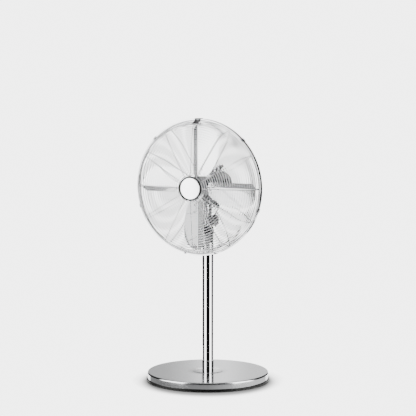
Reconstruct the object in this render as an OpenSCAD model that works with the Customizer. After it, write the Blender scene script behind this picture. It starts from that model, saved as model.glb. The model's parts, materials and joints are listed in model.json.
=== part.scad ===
// Pedestal fan: weighted disc base, telescopic pole, swivel neck with a tilt joint,
// drum motor with an oscillating drive, four two-facet metal blades and a wire cage.
// Origin at the middle of the base, on the floor. +Z is up and the fan blows towards -Y.

/* [Base] */
// Radius of the steel base cover
cover_r = 199; // [190:0.5:205]
// Height of the top of the base cover
cover_top = 30; // [28:0.5:34]
// Radius of the black ring under the cover
ring_r = 201.5; // [200:0.5:210]
// Thickness of the iron weight plate
weight_t = 4; // [3:0.5:6]

/* [Pole] */
// Outer radius of the lower pole
pole_r = 18.8; // [18:0.1:19.2]
// Height of the top end of the lower pole
pole_top = 487; // [460:1:500]
// Outer radius of the sliding inner tube
tube_r = 13; // [12.5:0.5:14]
// Height of the lower end of the inner tube, pushed right down
tube_low = 70; // [60:1:120]

/* [Head] */
// Height of the motor axis
axis_z = 640; // [638:1:644]
// Distance from the pole axis forward to the mid-plane of the cage rim
rim_y = 68; // [66:1:75]
// Height of the tilt hinge
tilt_z = 528; // [527:0.5:529]
// Radius of the front motor shell
shell_r = 42; // [40:0.5:44]
// Radius of the rear motor cover
rear_r = 43; // [42.5:0.5:45]

/* [Cage] */
// Outer radius of the rim band
rim_r = 220; // [215:1:225]
// Diameter of the thin cage wire
wire_d = 2.3; // [1.8:0.1:2.4]
// Thickness of the cage spokes
spoke_d = 2.8; // [2.4:0.1:3.2]
// Diameter of the two rim wires
rim_wire_d = 4; // [3.5:0.1:4]
// Spacing of the cage rings along the wire
ring_pitch = 7.9; // [7:0.1:10]
// Number of spokes in each cage half
spokes = 12; // [8:1:16]

/* [Blades] */
// Number of blades
blade_count = 4; // [3:1:5]
// Distance from the axis to the blade tips
tip_r = 201; // [185:1:202]
// Width of the wide facet, measured in front view
blade_w = 62.5; // [50:0.5:64]
// Width of the narrow facet, measured in front view
blade_fold = 18; // [12:1:19]
// Pitch of the wide facet
wide_pitch = 25; // [15:1:26]
// Pitch of the narrow facet
narrow_pitch = 23; // [15:1:30]
// Blade sheet thickness
sheet = 1.2; // [0.8:0.1:1.5]

/* [Oscillation] */
// Sideways distance of the clutch shaft from the motor axis
clutch_x = -14; // [-14:1:-14]
// Crank radius
crank_r = 20; // [18:1:20]
// Sideways distance of the fixed stud from the pole axis
stud_x = -28; // [-29:0.5:-27]
// Teeth on the worm wheel
wheel_teeth = 25; // [25:1:25]

/* [Hidden] */

e = 0.01;
running = 0.05;
pole_bore = pole_r - 1.2;
tube_bore = tube_r - 1.2;
cover_t = 1.2;
cover_low = 9.4;
emboss_r = 49;
emboss_h = 0.8;
foot_r = 9;
foot_pcd_r = 172;
foot_count = 6;
bolt_r = 6;
tube_top = pole_top + 24;
bush_r = 8;
collar_low = pole_top - 3;
collar_top = pole_top + 21;
arm_low = tube_top - 2.6;
arm_top = tube_top + 0.4;
knuckle_r = 13;
cheek_r = 13.5;
cheek_in = 5.8;
tongue_half = 5.5;
tongue_r = 12.5;
neck_top = axis_z - 56.5;
bracket_low = axis_z - 70;
bracket_half = 15;
bracket_rear = 82;
clutch_y = 62;
crank_z = axis_z - 77.5;
crank_t = 5;
link_len = 61.7;
link_angle = -85.5;
crank_angle = 182;
wheel_module = 0.8;
worm_pitch = wheel_module * PI;
shaft_r = 4;
shell_front = -44;
seam = -84;
cover_end = -172;
crease_f = 10;
blade_root = 36;
knob_r = 19;
pod_tilt = 8;

// Front half: hub to shoulder, then shoulder to rim. Points are [radius, forward of the rim].
front_face = [[38.6, 62], [110, 57.5], [160, 51.5], [195, 45]];
front_wall = [[195, 45], [201, 37], [205.5, 22], [214.9, 5]];
rear_face = [[46, -43.4], [102, -40], [165, -36]];
rear_wall = [[165, -36], [207, -14], [214.9, -5]];
rim_wire_f = 3.4;

// Route of the motor lead, from the bracket down into the swivel knuckle; z is above the tilt hinge
lead_route = [
    [8, 60, 41.9], [8, 60, 36], [8, 57, 29], [7, 51, 23], [6, 44, 18], [4, 37, 13], [3, 31, 8],
    [1.5, 26, 2.5], [0.5, 22, -2.5], [0, 19.5, -5], [0, 17.5, -6], [0, 15, -6], [0, 12.8, -6]
];
lead_r = 2.2;
lead_sides = 8;

// Point and direction at distance d along a polyline
function seg_len(pts, i) = norm(pts[i + 1] - pts[i]);
function walk(pts, d, i = 0) =
    (i == len(pts) - 2 || d <= seg_len(pts, i))
        ? pts[i] + (pts[i + 1] - pts[i]) * d / seg_len(pts, i)
        : walk(pts, d - seg_len(pts, i), i + 1);
function path_len(pts, i = 0) = i == len(pts) - 1 ? 0 : seg_len(pts, i) + path_len(pts, i + 1);

// Half-width of the wide facet's outline at an angle round its two quarter ovals
belly_r = 140;
tip_power = 2.4;
function inner_edge(a) = [blade_w * cos(a), belly_r - 114 * sin(a)];
function outer_edge(a) = [
    blade_w * pow(cos(a), 2 / tip_power),
    belly_r + (tip_r + 0.5 - belly_r) * pow(sin(a), 2 / tip_power)
];

// Children stand on the motor axis, with z forward of the rim plane and y up
module on_axis(f = 0) translate([0, -rim_y - f, axis_z]) rotate([90, 0, 0]) children();

module ring(r_in, r_out, z0, z1) {
    translate([0, 0, z0]) difference() {
        cylinder(r = r_out, h = z1 - z0, $fn = 96);
        translate([0, 0, -1]) cylinder(r = r_in, h = z1 - z0 + 2, $fn = 96);
    }
}

// Half outline of a disc-shaped pan with a rounded rim
module pan_profile(r, low, top, fillet) {
    translate([0, low]) square([r, top - fillet - low]);
    translate([0, low]) square([r - fillet, top - low]);
    translate([r - fillet, top - fillet]) circle(r = fillet, $fn = 48);
}

// ---------------------------------------------------------------- base

module base_cover() {
    color("silver") difference() {
        rotate_extrude($fn = 180) difference() {
            union() {
                pan_profile(cover_r, cover_low, cover_top, 5);
                square([emboss_r, cover_top + emboss_h]);
            }
            translate([-1, 0]) square([1, 2 * cover_top]);
            square([bolt_r + 0.3, 2 * cover_top]);
            difference() {
                pan_profile(cover_r - cover_t, cover_low - 1, cover_top - cover_t, 5 - cover_t);
                translate([-1, 0]) square([1, 2 * cover_top]);
            }
            square([emboss_r + 10, cover_low]);
        }
        translate([0, cover_r - 10, 18]) rotate([-90, 0, 0]) cylinder(r = 6, h = 20, $fn = 48);
    }
}

module base_weight() {
    hub_r = 50;
    color("dimgray") difference() {
        union() {
            ring(bolt_r + 0.3, cover_r - 14, 5.3, 5.3 + weight_t);
            ring(bolt_r + 0.3, hub_r, 5.3 + e, cover_top - cover_t - 0.1);
        }
        translate([0, 0, 5]) cylinder(r = 15, h = 10.3, $fn = 48);
    }
}

module base_ring() {
    color("black") rotate_extrude($fn = 180) polygon([
        [30, 2], [30, 5.2], [ring_r - 8, 5.2], [ring_r - 8, cover_low + 1],
        [cover_r - cover_t - 0.3, cover_low + 1],
        [cover_r - cover_t - 0.3, cover_low], [ring_r - 1, cover_low], [ring_r, cover_low - 1],
        [ring_r, 1.6], [ring_r - 0.6, 1], [ring_r - 11, 1], [ring_r - 12, 2]
    ]);
}

module base_feet() {
    color("black") for (i = [0 : foot_count - 1]) rotate([0, 0, 30 + 360 / foot_count * i])
        translate([foot_pcd_r, 0, 0]) {
            cylinder(r1 = foot_r - 0.6, r2 = foot_r, h = 0.6, $fn = 48);
            translate([0, 0, 0.6]) cylinder(r = foot_r, h = 1.4, $fn = 48);
        }
}

module foot_plug() {
    color("gray") ring(bolt_r, pole_bore, cover_top + emboss_h + 0.1, 60);
}

module foot_bolt() {
    color("gray") {
        translate([0, 0, 6]) cylinder(r = 10, h = 7, $fn = 6);
        translate([0, 0, 12]) cylinder(r = bolt_r, h = 46, $fn = 48);
    }
}

module foot_washer() {
    color("gray") ring(bolt_r + 0.1, 14, 13, 15.2);
}

module outer_pole() {
    color("silver") ring(pole_bore, pole_r, cover_top + emboss_h, pole_top);
}

module cord_gland() {
    color("black") translate([0, cover_r, 18]) rotate([-90, 0, 0]) difference() {
        union() {
            translate([0, 0, -8]) cylinder(r = 5.9, h = 9, $fn = 48);
            translate([0, 0, 0.2]) cylinder(r = 8, h = 2, $fn = 48);
            translate([0, 0, -4]) cylinder(r = 7.4, h = 2, $fn = 48);
        }
        translate([0, 0, -10]) cylinder(r = 3.2, h = 30, $fn = 32);
    }
}

// ---------------------------------------------------------------- telescopic pole

module pole_bush() {
    color("black") {
        ring(tube_r + running, pole_bore - e, pole_top - 30, pole_top);
        ring(tube_r + running, pole_r, pole_top, pole_top + 2);
        ring(tube_r + running, 15.4, pole_top + 1.9, pole_top + 15);
    }
}

module height_collar() {
    grips = 20;
    color("black") difference() {
        rotate_extrude($fn = 120) polygon([
            [pole_r + 0.3, collar_low], [20.6, collar_low], [20.6, collar_low + 5.5],
            [16.9, collar_top - 1.5], [15.9, collar_top], [tube_r + 0.3, collar_top],
            [tube_r + 0.3, collar_top - 5], [15.7, collar_top - 5.4], [15.7, collar_low + 5.4],
            [pole_r + 0.3, collar_low + 5.4]
        ]);
        for (i = [0 : grips - 1]) rotate([0, 0, 360 / grips * i])
            translate([21.4, 0, collar_low - 1]) cylinder(r = 1.2, h = 5.5, $fn = 24);
    }
}

module inner_tube() {
    color("silver") ring(tube_bore, tube_r, tube_low, tube_top);
}

module guide_ring() {
    color("black") ring(tube_r, pole_bore - running, tube_low + 2, tube_low + 14);
}

module swivel_bush() {
    color("white") ring(bush_r + running, tube_bore, tube_top - 43, tube_top - 0.4);
}

module sway_arm() {
    arm_w = 7;
    color("gray") {
        difference() {
            union() {
                ring(tube_r, 16.5, arm_low, arm_top);
                translate([stud_x, -arm_w / 2, arm_low]) cube([-stud_x - 14.5, arm_w, arm_top - arm_low]);
                translate([stud_x, 0, arm_low]) cylinder(r = arm_w / 2, h = arm_top - arm_low, $fn = 48);
            }
            translate([0, 0, arm_low - 1]) cylinder(r = tube_r, h = 5, $fn = 96);
        }
        translate([stud_x, 0, arm_top - 1]) cylinder(r = 2, h = 27, $fn = 48);
    }
}

// ---------------------------------------------------------------- swivel knuckle

module neck_knuckle() {
    color("silver") difference() {
        union() {
            translate([0, 0, tube_top - 42]) cylinder(r = bush_r, h = 43, $fn = 72);
            translate([0, 0, tube_top + 0.8]) cylinder(r = knuckle_r, h = 2.4, $fn = 96);
            intersection() {
                translate([-tongue_half, -20, tube_top + 1]) cube([2 * tongue_half, 40, 40]);
                translate([0, 0, tube_top - 9]) cylinder(r = knuckle_r, h = 60, $fn = 96);
                union() {
                    translate([-10, 0, tilt_z]) rotate([0, 90, 0]) cylinder(r = tongue_r, h = 20, $fn = 96);
                    translate([-10, -tongue_r, tube_top]) cube([20, 2 * tongue_r, tilt_z - tube_top]);
                }
            }
        }
        translate([-15, 0, tilt_z]) rotate([0, 90, 0]) cylinder(r = shaft_r + running, h = 30, $fn = 48);
    }
}

module lead_gland_neck() {
    color("black") translate([0, tongue_r, tilt_z - 6]) rotate([-90, 0, 0]) ring(lead_r + 0.1, 4.4, 0, 4);
}

// ---------------------------------------------------------------- tilting yoke

module tilt_yoke() {
    color("silver") difference() {
        union() {
            translate([0, 0, tilt_z]) cylinder(r = cheek_r, h = neck_top - tilt_z, $fn = 96);
            intersection() {
                translate([0, 0, tilt_z - 20]) cylinder(r = cheek_r, h = 25, $fn = 96);
                translate([-20, 0, tilt_z]) rotate([0, 90, 0]) cylinder(r = 13.3, h = 40, $fn = 96);
            }
        }
        translate([-cheek_in, -20, tilt_z - 30]) cube([2 * cheek_in, 40, 44]);
        translate([-20, 0, tilt_z]) rotate([0, 90, 0]) cylinder(r = shaft_r, h = 40, $fn = 48);
    }
}

module tilt_bolt() {
    color("gray") translate([0, 0, tilt_z]) rotate([0, 90, 0]) {
        translate([0, 0, -16.5]) cylinder(r = 6, h = 3, $fn = 48);
        translate([0, 0, -14]) cylinder(r = shaft_r, h = 40, $fn = 48);
    }
}

module tilt_washers() {
    color("gray") translate([0, 0, tilt_z]) rotate([0, 90, 0]) ring(shaft_r + running, 9, 13.5, 15);
}

module tilt_knob() {
    flutes = 10;
    color("black") translate([0, 0, tilt_z]) rotate([0, 90, 0]) difference() {
        union() {
            translate([0, 0, 15.2]) cylinder(r = 10, h = 6, $fn = 72);
            translate([0, 0, 20]) cylinder(r = knob_r, h = 10, $fn = 96);
            translate([0, 0, 30]) cylinder(r1 = knob_r, r2 = knob_r - 2, h = 1.5, $fn = 96);
        }
        translate([0, 0, 15]) cylinder(r = shaft_r + running, h = 11.3, $fn = 48);
        for (i = [0 : flutes - 1]) rotate([0, 0, 360 / flutes * i])
            translate([knob_r + 2, 0, 19]) cylinder(r = 3.4, h = 13, $fn = 24);
    }
}

// ---------------------------------------------------------------- motor and its bracket

module swivel_bracket() {
    color("silver") difference() {
        union() {
            translate([-bracket_half, -16, neck_top]) cube([2 * bracket_half, 38, 24]);
            translate([-bracket_half, 21, bracket_low])
                cube([2 * bracket_half, bracket_rear - bracket_half - 21, 36]);
            translate([0, bracket_rear - bracket_half, bracket_low])
                cylinder(r = bracket_half, h = 36, $fn = 96);
            translate([clutch_x, clutch_y, bracket_low]) cylinder(r = 9, h = 36, $fn = 96);
        }
        on_axis(seam) cylinder(r = shell_r + 0.05, h = 90, $fn = 180);
        on_axis(cover_end) cylinder(r = rear_r + 0.05, h = cover_end * -1 + seam + e, $fn = 180);
        translate([clutch_x, clutch_y, crank_z]) cylinder(r = shaft_r + 0.5, h = 50, $fn = 48);
    }
}

module lead_gland_head() {
    color("black") translate([8, 60, bracket_low]) ring(lead_r + 0.1, 5, -7, 0);
}

// Ring of points round the route at point i, square to the route there
function unit(v) = v / norm(v);
function route_dir(p, i) = unit(p[min(i + 1, len(p) - 1)] - p[max(i - 1, 0)]);
function ring_at(p, i, r, n) = let (
        t = route_dir(p, i),
        u = unit(cross(t, [1, 0.2, 0])),
        v = cross(t, u)
    ) [for (k = [0 : n - 1]) p[i] + r * (cos(360 / n * k) * u + sin(360 / n * k) * v)];

module tube_along(p, r, n) {
    m = len(p);
    pts = [for (i = [0 : m - 1]) each ring_at(p, i, r, n)];
    sides = [for (i = [0 : m - 2]) for (k = [0 : n - 1])
        [i * n + k, i * n + (k + 1) % n, (i + 1) * n + (k + 1) % n, (i + 1) * n + k]];
    low = [for (k = [n - 1 : -1 : 0]) k];
    high = [for (k = [0 : n - 1]) (m - 1) * n + k];
    polyhedron(points = pts, faces = concat(sides, [low, high]), convexity = 4);
}

module motor_lead() {
    color("black") translate([0, 0, tilt_z]) tube_along(lead_route, lead_r, lead_sides);
}

module motor_shell() {
    color("gray") on_axis(0) difference() {
        union() {
            rotate_extrude($fn = 180) difference() {
                translate([0, seam]) square([shell_r, -seam + shell_front]);
                translate([0, seam - 1]) square([shell_r - 1.5, -seam + shell_front - 1]);
                difference() {
                    translate([shell_r - 3, shell_front - 3]) square([4, 4]);
                    translate([shell_r - 3, shell_front - 3]) circle(r = 3, $fn = 48);
                }
            }
            ring(9, 12, shell_front - 1, shell_front + 6);
        }
        translate([0, 0, shell_front - 5]) cylinder(r = 9, h = 20, $fn = 72);
    }
}

module rear_cover() {
    slots = 16;
    color("silver") difference() {
        on_axis(0) difference() {
            rotate_extrude($fn = 180) difference() {
                mirror([0, 1]) pan_profile(rear_r, -seam + 0.2, -cover_end, 10);
                translate([-20, cover_end - 1]) square([20, 200]);
                difference() {
                    mirror([0, 1]) pan_profile(rear_r - 1.2, -seam - 1, -cover_end - 1.2, 8.8);
                    translate([-20, cover_end - 1]) square([20, 200]);
                }
            }
            for (i = [0 : slots - 1]) rotate([0, 0, 360 / slots * (i + 0.5)])
                translate([15, -1.3, cover_end - 2]) cube([14, 2.6, 6]);
        }
        translate([clutch_x, clutch_y, axis_z - 100]) cylinder(r = shaft_r + 0.5, h = 90, $fn = 48);
        translate([clutch_x, clutch_y, axis_z]) cylinder(r = 2.4, h = 90, $fn = 48);
    }
}

module stator() {
    color("dimgray") on_axis(0) ring(20.4, shell_r - 1.6, -80, -55);
}

module stator_coils() {
    color("peru") on_axis(0) {
        ring(23, 36, -54.9, -48);
        ring(23, 36, -87, -80.1);
    }
}

module shaft_bushes() {
    color("goldenrod") on_axis(0) {
        ring(shaft_r + running, 9, -46.5, -38.5);
        ring(shaft_r + running, 9, -99, -91);
    }
}

module gearbox_case() {
    color("gray") difference() {
        union() {
            on_axis(0) ring(9, shell_r - 1.6, -95, -91);
            translate([-31, -rim_y + 94.9, axis_z - 12]) cube([39, 50, 24]);
        }
        translate([-28, -rim_y + 94, axis_z - 9]) cube([33, 48, 18]);
        on_axis(-105) cylinder(r = 9, h = 16, $fn = 72);
        translate([clutch_x, clutch_y, axis_z - 20]) cylinder(r = shaft_r + running, h = 40, $fn = 48);
    }
}

module cover_screws() {
    color("gray") on_axis(0) for (i = [0 : 2]) rotate([0, 0, 90 + 120 * i])
        translate([31.8, 0, cover_end - 1.6]) {
            cylinder(r = 2.6, h = 1.6, $fn = 36);
            cylinder(r = 1.4, h = 8, $fn = 36);
        }
}

// ---------------------------------------------------------------- controls on the head

module clutch_boss() {
    color("dimgray") difference() {
        translate([clutch_x, clutch_y, axis_z + 36]) cylinder(r = 6.5, h = 11, $fn = 72);
        on_axis(cover_end) cylinder(r = rear_r + e, h = 90, $fn = 180);
        translate([clutch_x, clutch_y, axis_z]) cylinder(r = 2 + running, h = 90, $fn = 48);
    }
}

module clutch_knob() {
    color("black") translate([clutch_x, clutch_y, axis_z]) {
        translate([0, 0, 18]) cylinder(r = 2, h = 35, $fn = 48);
        translate([0, 0, 51.5]) cylinder(r = 5, h = 9, $fn = 72);
        translate([0, 0, 60.5]) cylinder(r1 = 5, r2 = 4.2, h = 0.8, $fn = 72);
    }
}

// Children stand at the front end of the switch pod, with z back along it
module in_pod() translate([0, 73, axis_z + 49.5]) rotate([-90 + pod_tilt, 0, 0]) children();

module speed_pod() {
    color("silver") difference() {
        union() {
            in_pod() cylinder(r = 9.5, h = 27, $fn = 96);
            in_pod() cylinder(r = 6, h = 30, $fn = 96);
            translate([-7, 76, axis_z + 36]) cube([14, 19, 14]);
        }
        on_axis(cover_end) cylinder(r = rear_r + e, h = 90, $fn = 180);
        in_pod() translate([0, 0, 3]) cylinder(r = 5, h = 40, $fn = 72);
    }
}

module speed_switch() {
    color("dimgray") in_pod() {
        translate([0, 0, 3.1]) cylinder(r = 4.9, h = 20, $fn = 72);
        translate([0, 0, 23]) cylinder(r = 2, h = 9.6, $fn = 48);
    }
}

module speed_knob() {
    color("black") in_pod() difference() {
        union() {
            translate([0, 0, 30.4]) cylinder(r = 5.2, h = 8, $fn = 72);
            translate([-0.9, 0, 38.3]) cube([1.8, 4.6, 0.9]);
        }
        translate([0, 0, 30]) cylinder(r = 2 + running, h = 3, $fn = 48);
    }
}

// ---------------------------------------------------------------- oscillation drive

// One tooth of the worm wheel as a narrow wedge
module wheel_outline() {
    base_r = wheel_teeth * wheel_module / 2 - 0.9;
    circle(r = base_r, $fn = 100);
    for (i = [0 : wheel_teeth - 1]) rotate(360 / wheel_teeth * i)
        polygon([[base_r - 0.3, -0.75], [base_r + 0.9, -0.36], [base_r + 1.45, -0.1],
                 [base_r + 1.45, 0.1], [base_r + 0.9, 0.36], [base_r - 0.3, 0.75]]);
}

module worm_wheel() {
    color("white") translate([clutch_x, clutch_y, axis_z]) difference() {
        translate([0, 0, -2.5]) linear_extrude(5) wheel_outline();
        translate([0, 0, -5]) cylinder(r = shaft_r + running, h = 10, $fn = 48);
    }
}

module clutch_shaft() {
    color("gray") translate([clutch_x, clutch_y, crank_z + crank_t])
        cylinder(r = shaft_r, h = axis_z + 16 - crank_z - crank_t, $fn = 48);
}

module crank_arm() {
    color("gray") translate([clutch_x, clutch_y, crank_z]) rotate([0, 0, crank_angle]) {
        cylinder(r = 8, h = crank_t, $fn = 72);
        translate([0, -4, 0]) cube([crank_r, 8, crank_t]);
        translate([crank_r, 0, 0]) cylinder(r = 5, h = crank_t, $fn = 48);
        translate([crank_r, 0, -6]) cylinder(r = 2.5, h = 7, $fn = 48);
    }
}

// Rod from the crank pin down to the fixed stud
module sway_link() {
    eye_z = tilt_z;
    drop = crank_z - 3.6 - eye_z;
    flat = link_len - 11.5;
    color("gray") translate([clutch_x, clutch_y, 0]) rotate([0, 0, crank_angle])
    translate([crank_r, 0, 0]) rotate([0, 0, link_angle - crank_angle]) {
        ring(2.5 + running, 6, crank_z - 5.5, crank_z - 1.5);
        translate([link_len, 0, 0]) ring(6.6, 9.2, eye_z - 1.2, eye_z + 1.2);
        translate([4, 0, crank_z - 3.6]) rotate([0, 90 + atan2(drop, flat), 0])
            cylinder(r = 1.9, h = norm([drop, flat]), $fn = 36);
    }
}

// ---------------------------------------------------------------- wire cage

module wire_rings(pts, first, count) {
    rotate_extrude($fn = 180) for (i = [0 : count - 1])
        translate(walk(pts, first + i * ring_pitch)) rotate(22.5) circle(d = wire_d, $fn = 8);
}

// Flat-sided wires that follow the outline on its inner side
module wire_spokes(pts, inward) {
    near = 0.2 * wire_d;
    far = near + spoke_d;
    outline = concat([for (p = pts) p + inward * near],
                     [for (i = [len(pts) - 1 : -1 : 0]) pts[i] + inward * far]);
    for (k = [0 : spokes - 1]) rotate([0, 0, 360 / spokes * k]) rotate([90, 0, 0])
        translate([0, 0, -spoke_d / 2]) linear_extrude(spoke_d) polygon(outline);
}

module rim_wire(f) {
    rotate_extrude($fn = 180) translate([215, f]) rotate(22.5) circle(d = rim_wire_d, $fn = 8);
}

module front_guard_face() {
    count = round(path_len(front_face) / ring_pitch);
    color("silver") on_axis(0) {
        wire_rings(front_face, 0.5 * ring_pitch, count);
        wire_spokes(front_face, [0, -1]);
    }
}

module front_guard_side() {
    color("silver") on_axis(0) {
        wire_rings(front_wall, 0.55 * ring_pitch, 5);
        wire_spokes(front_wall, [-0.92, -0.38]);
        rim_wire(rim_wire_f);
    }
}

module rear_guard_face() {
    count = floor((path_len(rear_face) - 8) / ring_pitch);
    color("silver") on_axis(0) {
        wire_rings(rear_face, 12, count);
        wire_spokes(rear_face, [0, 1]);
        ring(12.3, 49, -43.9, -42.4);
    }
}

module rear_guard_side() {
    color("silver") on_axis(0) {
        wire_rings(rear_wall, 0.45 * ring_pitch, 7);
        wire_spokes(rear_wall, [-0.5, 0.85]);
        rim_wire(-rim_wire_f);
    }
}

module guard_nut() {
    lugs = 8;
    color("black") on_axis(0) {
        ring(12.1, 24, -42.3, -38.8);
        for (i = [0 : lugs - 1]) rotate([0, 0, 360 / lugs * i])
            translate([21.5, -2.5, -42.2]) cube([6, 5, 4.4]);
    }
}

module rim_band() {
    depth = 7.4;
    t = 1.2;
    color("silver") on_axis(0) rotate_extrude($fn = 240) difference() {
        translate([216.5, -depth]) square([rim_r - 216.5, 2 * depth]);
        translate([210, -depth + t]) square([rim_r - t - 210, 2 * depth - 2 * t]);
    }
}

clip_angles = [45, 135, 198, 258, 286, 342];

// U-shaped sheet clips over the rim band
module rim_clips() {
    outer = rim_r + 1.4;
    t = 1.2;
    color("gray") on_axis(0) for (a = clip_angles) let (width = (a == 258 || a == 286) ? 6 : 12)
        rotate([0, 0, a]) rotate([90, 0, 0]) translate([0, 0, -width / 2]) linear_extrude(width)
            polygon([
                [outer - 5.2, -8.7], [outer, -8.7], [outer, 8.7], [outer - 5.2, 8.7],
                [outer - 5.2, 7.5], [outer - t, 7.5], [outer - t, -7.5], [outer - 5.2, -7.5]
            ]);
}

// Larger clip at the top, with a strap that follows the cage wall
module top_clip() {
    outer = rim_r + 1.6;
    width = 21;
    color("gray") on_axis(0) rotate([0, 0, 90]) rotate([90, 0, 0]) translate([0, 0, -width / 2])
        linear_extrude(width) polygon([
            [outer - 5.4, -8.8], [outer, -8.8], [outer, 8.6], [215.8, 8.6], [207.7, 23.2],
            [205.7, 28.9], [204.5, 28.5], [206.4, 22.8], [214.9, 7.5], [outer - 1.2, 7.5],
            [outer - 1.2, -7.5], [outer - 5.4, -7.5]
        ]);
}

module badge_ring() {
    color("black") on_axis(0) rotate_extrude($fn = 144) polygon([
        [0, 58], [39, 58], [39, 66.2], [38, 67.2],
        [34.8, 67.2], [33.8, 66.2], [33.8, 59.5], [0, 59.5]
    ]);
}

module badge_disc() {
    color("white") on_axis(0) rotate_extrude($fn = 144)
        polygon([[0, 59.6], [33.6, 59.6], [33.6, 64.4], [32.9, 65.2], [0, 65.2]]);
}

// ---------------------------------------------------------------- rotor and blades

module motor_shaft() {
    color("gray") on_axis(0) {
        translate([0, 0, -118]) cylinder(r = shaft_r, h = 118 + 14, $fn = 48);
        translate([0, 0, -139]) cylinder(r = 2.4, h = 22, $fn = 48);
    }
}

// Eccentric circle twisted along the shaft: one start, right-handed
module worm() {
    length = 5 * worm_pitch;
    color("dimgray") translate([0, clutch_y - length / 2, axis_z]) rotate([-90, 0, 0])
        difference() {
            linear_extrude(height = length, twist = -360 * 5, slices = 70)
                translate([-0.7, 0]) circle(r = 4, $fn = 18);
            translate([0, 0, -1]) cylinder(r = 2.4, h = length + 2, $fn = 24);
        }
}

module rotor() {
    color("gray") on_axis(0) {
        ring(shaft_r, 20, -80, -55);
        ring(shaft_r, 16, -82.5, -80);
        ring(shaft_r, 16, -55, -52.5);
    }
}

// Children stand in the plane of blade k's wide facet: x across it, y outwards, z forward
module at_blade(k) on_axis(0) rotate([0, 0, -360 / blade_count * k]) translate([0, 0, crease_f])
    children();

rivet_spots = [[8, 43], [21, 43], [14.5, 57]];

// Front-view outline of a blade, crease on the y axis
module blade_outline() {
    low = asin((belly_r - blade_root) / 114);
    polygon(concat(
        [[0, blade_root]],
        [for (i = [5 : -1 : 1]) inner_edge(low * i / 5)],
        [for (i = [0 : 9]) outer_edge(10 * i)],
        [[-8, 198], [-15, 192.5], [-blade_fold, 186], [-blade_fold, blade_root + 7], [-13, blade_root + 1]]
    ));
}

// Bent section of the sheet: wide facet to +x, narrow facet to -x
module blade_section() {
    reach = 70;
    back = 20;
    t = sheet / cos(wide_pitch);
    polygon([
        [0, 0], [-back, -back * tan(narrow_pitch)], [-back, -back * tan(narrow_pitch) - t],
        [0, -t], [reach, -reach * tan(wide_pitch) - t], [reach, -reach * tan(wide_pitch)]
    ]);
}

module blade(k) {
    at_blade(k) difference() {
        intersection() {
            translate([0, 0, -45]) linear_extrude(50) blade_outline();
            translate([0, 220, 0]) rotate([90, 0, 0]) linear_extrude(200) blade_section();
        }
        rotate([0, wide_pitch, 0]) for (s = rivet_spots) translate([s[0], s[1], -6])
            cylinder(r = 2, h = 12, $fn = 36);
    }
}

module blade_1() color("gainsboro") blade(0);
module blade_2() color("gainsboro") blade(1);
module blade_3() color("gainsboro") blade(2);
module blade_4() color("gainsboro") blade(3);

module blade_hub() {
    color("gray") difference() {
        union() {
            on_axis(0) ring(shaft_r, 11, -32, 3);
            on_axis(0) ring(shaft_r, 24, -6, 0);
            for (k = [0 : blade_count - 1]) at_blade(k) rotate([0, wide_pitch, 0])
                translate([0, 0, -sheet - 2.1]) linear_extrude(2)
                    polygon([[3, 6], [27, 12], [28, 46], [18, 62], [10, 62], [3, 46]]);
        }
        on_axis(-40) cylinder(r = shaft_r, h = 80, $fn = 48);
        for (k = [0 : blade_count - 1]) at_blade(k) rotate([0, wide_pitch, 0])
            for (s = rivet_spots) translate([s[0], s[1], -6]) cylinder(r = 2, h = 12, $fn = 36);
    }
}

module blade_rivets() {
    color("gray") for (k = [0 : blade_count - 1]) at_blade(k) rotate([0, wide_pitch, 0])
        for (s = rivet_spots) translate([s[0], s[1], 0]) {
            translate([0, 0, -sheet - 2.6]) cylinder(r = 2, h = sheet + 2.8, $fn = 36);
            translate([0, 0, 0.05]) cylinder(r1 = 3.4, r2 = 2.4, h = 1.1, $fn = 36);
            translate([0, 0, -sheet - 3.2]) cylinder(r1 = 2.4, r2 = 3.4, h = 1.05, $fn = 36);
        }
}

module blade_nut() {
    flutes = 6;
    color("black") on_axis(0) difference() {
        union() {
            translate([0, 0, 3.2]) cylinder(r = 13, h = 14, $fn = 72);
            translate([0, 0, 17.2]) cylinder(r1 = 13, r2 = 9, h = 3, $fn = 72);
        }
        translate([0, 0, 3]) cylinder(r = shaft_r, h = 11.5, $fn = 48);
        for (i = [0 : flutes - 1]) rotate([0, 0, 360 / flutes * i])
            translate([15.5, 0, 5]) cylinder(r = 4, h = 20, $fn = 36);
    }
}

base_cover();
base_weight();
base_ring();
base_feet();
foot_plug();
foot_bolt();
foot_washer();
outer_pole();
cord_gland();
pole_bush();
height_collar();
inner_tube();
guide_ring();
swivel_bush();
sway_arm();
neck_knuckle();
lead_gland_neck();
tilt_yoke();
tilt_bolt();
tilt_washers();
tilt_knob();
swivel_bracket();
lead_gland_head();
motor_lead();
motor_shell();
rear_cover();
stator();
stator_coils();
shaft_bushes();
gearbox_case();
cover_screws();
clutch_boss();
speed_pod();
speed_switch();
clutch_knob();
speed_knob();
worm_wheel();
clutch_shaft();
crank_arm();
sway_link();
rear_guard_face();
rear_guard_side();
guard_nut();
front_guard_face();
front_guard_side();
rim_band();
rim_clips();
top_clip();
badge_ring();
badge_disc();
motor_shaft();
worm();
rotor();
blade_hub();
blade_1();
blade_2();
blade_3();
blade_4();
blade_rivets();
blade_nut();
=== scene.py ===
import json
import math

import bmesh
import bpy
from mathutils import Matrix, Vector


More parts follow.
